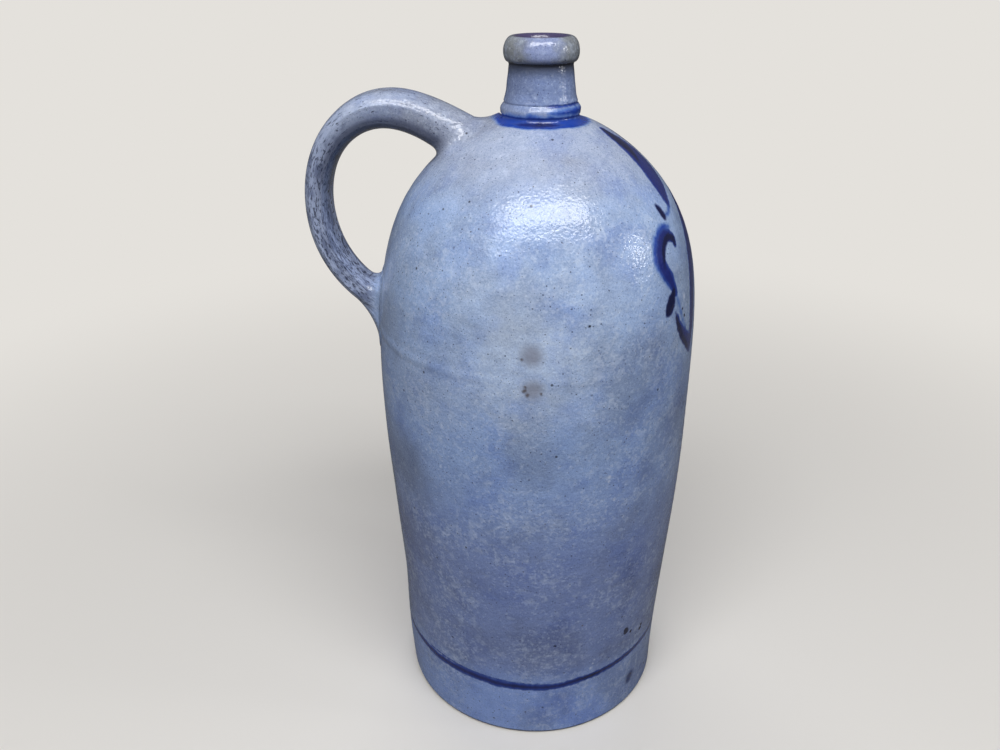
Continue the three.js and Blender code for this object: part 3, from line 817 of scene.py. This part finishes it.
def handle_glaze():
    """Salt glaze over a pulled strap: streaked along its length, with painted shade underneath, and
    worn and flecked dark on the loop, where the hand goes. At the roots the wet clay was stroked down
    until its surface runs into the wall's, so there it takes the wall's normal."""
    material, tree = new_material("salt_glazed_strap")
    place = add(tree, "ShaderNodeTexCoord", out="Object")
    colour = salt_glaze(tree, place, fired_ground(tree, place, BODY_TINTS_AND_SHADE))
    strap = add(tree, "ShaderNodeAttribute", {"attribute_name": "strap"}, out="Vector")
    free = add(tree, "ShaderNodeAttribute", {"attribute_name": "free"}, out="Fac")
    run = add(tree, "ShaderNodeSeparateXYZ", {}, {"Vector": strap}, out="X")
    outer = add(tree, "ShaderNodeSeparateXYZ", {}, {"Vector": strap}, out="Y")
    worn = add(tree, "ShaderNodeMapRange", {**SMOOTHLY, "From Min": STRAP_WORN[0],
                                            "From Max": STRAP_WORN[1]}, {"Value": run})
    drawn = add(tree, "ShaderNodeMapping", {"Scale": [1 / size for size in STREAK]}, {"Vector": strap})
    streak = add(tree, "ShaderNodeTexNoise", {"Scale": 1, "Detail": 4, "Roughness": 0.6}, {"Vector": drawn})
    blotch = add(tree, "ShaderNodeTexNoise", {"Scale": per_metre(9), "Detail": 5, "Roughness": 0.65},
                 {"Vector": place})
    dark = add(tree, "ShaderNodeMath", {"operation": "ADD"}, {0: streak, 1: blotch})
    dark = add(tree, "ShaderNodeMath", {"operation": "MULTIPLY_ADD", 1: 0.22}, {0: worn, 2: dark})
    dark = add(tree, "ShaderNodeMapRange", {**SMOOTHLY, "From Min": 1.12, "From Max": 1.38,
                                            "To Max": 0.7}, {"Value": dark})
    fleck = add(tree, "ShaderNodeMapping", {"Scale": [1 / size for size in FLECK]}, {"Vector": strap})
    fleck = add(tree, "ShaderNodeTexNoise", {"Scale": 1, "Detail": 2}, {"Vector": fleck})
    fleck = add(tree, "ShaderNodeMath", {"operation": "MULTIPLY_ADD", 1: 0.11}, {0: worn, 2: fleck})
    fleck = add(tree, "ShaderNodeMapRange", {**SMOOTHLY, "From Min": 0.63, "From Max": 0.74,
                                             "To Max": 0.8}, {"Value": fleck})
    # painted shade on the lower side of the strap, under the upper part of the loop
    under = add(tree, "ShaderNodeMapRange", {**SMOOTHLY, "From Min": STRAP_UNDER_SHADE[0],
                                             "From Max": STRAP_UNDER_SHADE[1], "To Max": 0.85}, {"Value": outer})
    upper = add(tree, "ShaderNodeMapRange", {**SMOOTHLY, "From Min": STRAP_UPPER_SHADE[0],
                                             "From Max": STRAP_UPPER_SHADE[1]}, {"Value": run})
    under = add(tree, "ShaderNodeMath", {"operation": "MULTIPLY"}, {0: under, 1: upper})
    # worn pale, dark streaks, painted shade underneath and dark flecks, all faded out at the wall
    for share, tint in ((worn, "#a3afcc"), (dark, "#4e597a"), (under, "#3a4058"), (fleck, "#262c42")):
        share = add(tree, "ShaderNodeMath", {"operation": "MULTIPLY"}, {0: share, 1: free})
        colour = add(tree, "ShaderNodeMixRGB", {"Color2": linear(tint)}, {"Fac": share, "Color1": colour})
    colour = cobalt(tree, colour, place)
    streak = add(tree, "ShaderNodeMath", {"operation": "MULTIPLY"}, {0: streak, 1: free})
    lift = add(tree, "ShaderNodeMapRange", {**SMOOTHLY, "From Min": 0, "From Max": WALL_BLEND,
                                            "To Min": WALL_LEAST}, {"Value": free})
    wall = add(tree, "ShaderNodeAttribute", {"attribute_name": "wall"}, out="Vector")
    own = add(tree, "ShaderNodeNewGeometry", out="Normal")
    smoothed = add(tree, "ShaderNodeMixRGB", {}, {"Fac": lift, "Color1": wall, "Color2": own})
    smoothed = add(tree, "ShaderNodeVectorMath", {"operation": "NORMALIZE"}, {0: smoothed})
    lines = add(tree, "ShaderNodeBump", {"Strength": 1, "Distance": STREAK_DEPTH * MM},
                {"Height": streak, "Normal": smoothed})
    finish_surface(tree, colour, orange_peel(tree, place, {"Normal": lines}), rough=0.2, coat=0.4)
    return material


def bare_clay():
    """Stoneware clay inside the pot and under its foot: matt, brown-grey, with wheel lines."""
    material, tree = new_material("bare_stoneware_clay")
    place = add(tree, "ShaderNodeTexCoord", out="Object")
    tone = add(tree, "ShaderNodeTexNoise", {"Scale": per_metre(12), "Detail": 6}, {"Vector": place})
    colour = add(tree, "ShaderNodeMixRGB", {"Color1": linear("#6f6a6c"), "Color2": linear("#8b8785")},
                 {"Fac": tone})
    flat = add(tree, "ShaderNodeMapping", {"Scale": (1, 1, 0)}, {"Vector": place})
    turned_lines = add(tree, "ShaderNodeTexWave", {"wave_type": "RINGS", "rings_direction": "SPHERICAL",
                                                   "Scale": per_metre(16), "Distortion": 1.5,
                                                   "Detail": 2}, {"Vector": flat}, out="Fac")
    normal = add(tree, "ShaderNodeBump", {"Strength": 1, "Distance": 0.15 * MM}, {"Height": turned_lines})
    finish_surface(tree, colour, normal, rough=0.75, coat=0)
    return material


def dress(piece, node, slot, *materials):
    """Gives a piece its materials and its place in the part."""
    for material in materials:
        piece.data.materials.append(material)
    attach(piece, "root")
    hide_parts(node)


def bare_inside(piece):
    """Gives the faces inside the pot and under its foot the second material."""
    for face in piece.data.polygons:
        x, y, z = face.center / MM
        bare_r = (inner_radius(z) if z < NECK_Z else BORE_R) + WALL / 4
        inside = math.hypot(x, y) < bare_r and z > FLOOR / 2
        face.material_index = 1 if inside or z < UNDER_FOOT else 0


def keep_outside(piece, inset):
    """Cuts off what lies deeper than the inset inside the pot's skin."""
    skin = [(body_radius(z) - inset, z) for z in steps(0, NECK_Z, CORE_ROW)]
    core = turned("pot_core", [(0, 0)] + skin + [(0, NECK_Z)], CORE_SIDES, closed=False)
    cut = piece.modifiers.new("cut", "BOOLEAN")
    cut.object = core
    cut.operation = "DIFFERENCE"
    cut.solver = "EXACT"
    graph = bpy.context.evaluated_depsgraph_get()
    mesh = bpy.data.meshes.new_from_object(piece.evaluated_get(graph))
    piece.modifiers.clear()
    piece.data = mesh
    bpy.data.objects.remove(core)


def area_light(name, at, aim, size, watts, mirrored_in_glaze):
    data = bpy.data.lights.new(name, "AREA")
    data.shape = "RECTANGLE"
    data.size, data.size_y = size
    data.energy = watts
    light = bpy.data.objects.new(name, data)
    light.location = at
    light.rotation_euler = (Vector(at) - Vector(aim)).to_track_quat("Z", "Y").to_euler()
    light.visible_camera = False
    light.visible_glossy = mirrored_in_glaze
    bpy.context.scene.collection.objects.link(light)


def camera():
    data = bpy.data.cameras.new("camera")
    data.lens = CAMERA_LENS
    made = bpy.data.objects.new("camera", data)
    made.location = CAMERA_AT
    turn = Euler((math.radians(90 - CAMERA_PITCH), 0, -math.radians(CAMERA_YAW)), "XYZ").to_matrix()
    made.rotation_euler = (turn @ Matrix.Rotation(math.radians(CAMERA_ROLL), 3, "Z")).to_euler()
    bpy.context.scene.collection.objects.link(made)
    bpy.context.scene.camera = made


def studio():
    """Plain pale floor and soft plain lights; the floor keeps the jug's shadow."""
    world = bpy.data.worlds.new("studio")
    bpy.context.scene.world = world
    world.use_nodes = True
    tree = world.node_tree
    tree.nodes.clear()
    seen = add(tree, "ShaderNodeLightPath", out="Is Camera Ray")
    soft = add(tree, "ShaderNodeBackground", {"Color": linear("#f4f6ff"), "Strength": 0.12})
    pale = add(tree, "ShaderNodeBackground", {"Color": linear(BACKDROP), "Strength": 1})
    both = add(tree, "ShaderNodeMixShader", {}, {0: seen, 1: soft, 2: pale})
    add(tree, "ShaderNodeOutputWorld", {}, {"Surface": both})

    bm = bmesh.new()
    bmesh.ops.create_circle(bm, segments=96, radius=12, cap_ends=True)
    floor = new_piece("floor", bm)
    material, tree = new_material("pale_painted_board")
    seen = add(tree, "ShaderNodeLightPath", out="Is Camera Ray")
    colour = add(tree, "ShaderNodeMixRGB", {"Color1": linear("#6e6e6e"), "Color2": linear(BACKDROP)},
                 {"Fac": seen})
    board = add(tree, "ShaderNodeBsdfPrincipled", {"Roughness": 0.8}, {"Base Color": colour})
    even = add(tree, "ShaderNodeEmission", {"Color": linear(BACKDROP), "Strength": 1})
    place = add(tree, "ShaderNodeTexCoord", out="Object")
    away = add(tree, "ShaderNodeVectorMath", {"operation": "LENGTH"}, {0: place}, out="Value")
    away = add(tree, "ShaderNodeMapRange", {**SMOOTHLY, "From Min": 0.15, "From Max": 0.9},
               {"Value": away})
    away = add(tree, "ShaderNodeMath", {"operation": "MULTIPLY"}, {0: away, 1: seen})
    both = add(tree, "ShaderNodeMixShader", {}, {0: away, 1: board, 2: even})
    add(tree, "ShaderNodeOutputMaterial", {}, {"Surface": both})
    floor.data.materials.append(material)

    for light in LIGHTS:
        area_light(*light)


motif = [SCROLL, CRESCENT, LEAF, TAIL_AND_LIMB_SHADE]
hearts = [SCROLL_HEART, SPUR, LEAF_HEART, TAIL_HEART, CURL_DOT]
wash = [SCROLL_HALO, CURL, STEM]
for strokes in (motif, hearts, wash):
    strokes += [mirrored(stroke) for stroke in strokes]

# Bands brushed on the turning pot: (angle, height) and (angle, half width) lists
base_heights = [(-57, 41.5), (-44, 41), (-32, 41.5), (-22, 41.4), (-13, 40.2), (-4.6, 40.3), (3.8, 40.1),
                (12.2, 40.5), (21, 42.3), (30.5, 43.2), (41.5, 44.2), (56, 45.1), (120, 44.5), (220, 42)]
base_band = ring_stroke(base_heights, [(-70, 1.7), (-44, 2.7), (-20, 3.1), (0, 3), (12, 2.6), (30, 2.6),
                                       (56, 2.1), (120, 1.8), (220, 2.2)])
base_core = ring_stroke(base_heights, [(-70, 0.2), (-44, 0.8), (-24, 1), (-8, 1.2), (4, 1), (12, 0.7),
                                       (20, 1.4), (25, 1.8), (31, 1.3), (40, 1), (56, 0.7), (120, 0.4),
                                       (220, 0.6)])
base_second = ring_stroke([(-52, 45), (-30, 44.6), (-12, 43.4), (4, 43), (12, 42.6)],
                          [(-52, 0.4), (-40, 0.9), (-8, 0.8), (12, 0.3)], -52, 12)
neck_wash = ring_stroke([(0, 360), (60, 359.7), (180, 360.2)],
                        [(-60, 4), (-46, 5.2), (-32, 4.4), (-14, 5.5), (0, 4.6), (14, 5.4), (26, 4.4),
                         (42, 5.2), (60, 4.4), (200, 3.6), (270, 4)])
neck_line = ring_stroke([(0, 359.9)], [(-42, 0.4), (-24, 2.2), (0, 3), (18, 2.4), (36, 0.6)], -42, 36)
neck_core = ring_stroke([(0, 360.1)], [(-26, 0.2), (-14, 1), (-2, 1.5), (10, 1.2), (24, 0.2)], -26, 24)
groove_line = ring_stroke([(0, COLLAR_Z)], [(0, 0.9)])
collar_line = ring_stroke([(0, COLLAR_Z + 3)], [(8, 0.4), (20, 2), (60, 2.9), (110, 2), (140, 0.4)], 8, 140)
upper_line = ring_stroke([(0, TUBE_Z)], [(6, 0.2), (20, 0.9), (110, 0.9), (130, 0.2)], 6, 130)

# Strokes of each layer of cobalt, on the pot and on the strap, where only the neck's wash reaches
pot_paint = {"cobalt": motif + [base_band, base_second, groove_line, upper_line, neck_line],
             "heart": hearts + [base_core, neck_core],
             "wash": wash + [neck_wash, collar_line]}
strap_paint = {"cobalt": [], "heart": [], "wash": [neck_wash]}

pot = [("lower_clay", "lower_body", lower_outline(), POT_SIDES, False),
       ("shoulder_clay", "shoulder", upper_outline(), POT_SIDES, True),
       ("neck_clay", "neck", neck_outline(), NECK_SIDES, True)]
glaze = body_glaze()
clay = bare_clay()
for name, node, outline, sides, closed in pot:
    piece = turned(name, outline, sides, closed)
    for layer, strokes in pot_paint.items():
        paint(piece, layer, strokes)
    shape_by_hand(piece)
    dress(piece, node, "salt_glazed_stoneware", glaze, clay)
    bare_inside(piece)

lip = turned("lip_clay", lip_outline(), NECK_SIDES, closed=True)
shape_by_hand(lip)
dress(lip, "lip_ring", "salt_glazed_lip", lip_glaze())

strap = handle()
keep_outside(strap, ROOT_CUT)
strap.data.set_sharp_from_angle(angle=SHARP)
for layer, strokes in strap_paint.items():
    paint(strap, layer, strokes)
dress(strap, "handle", "salt_glazed_stoneware", handle_glaze())

camera()
studio()
bpy.context.scene.view_settings.view_transform = "Standard"
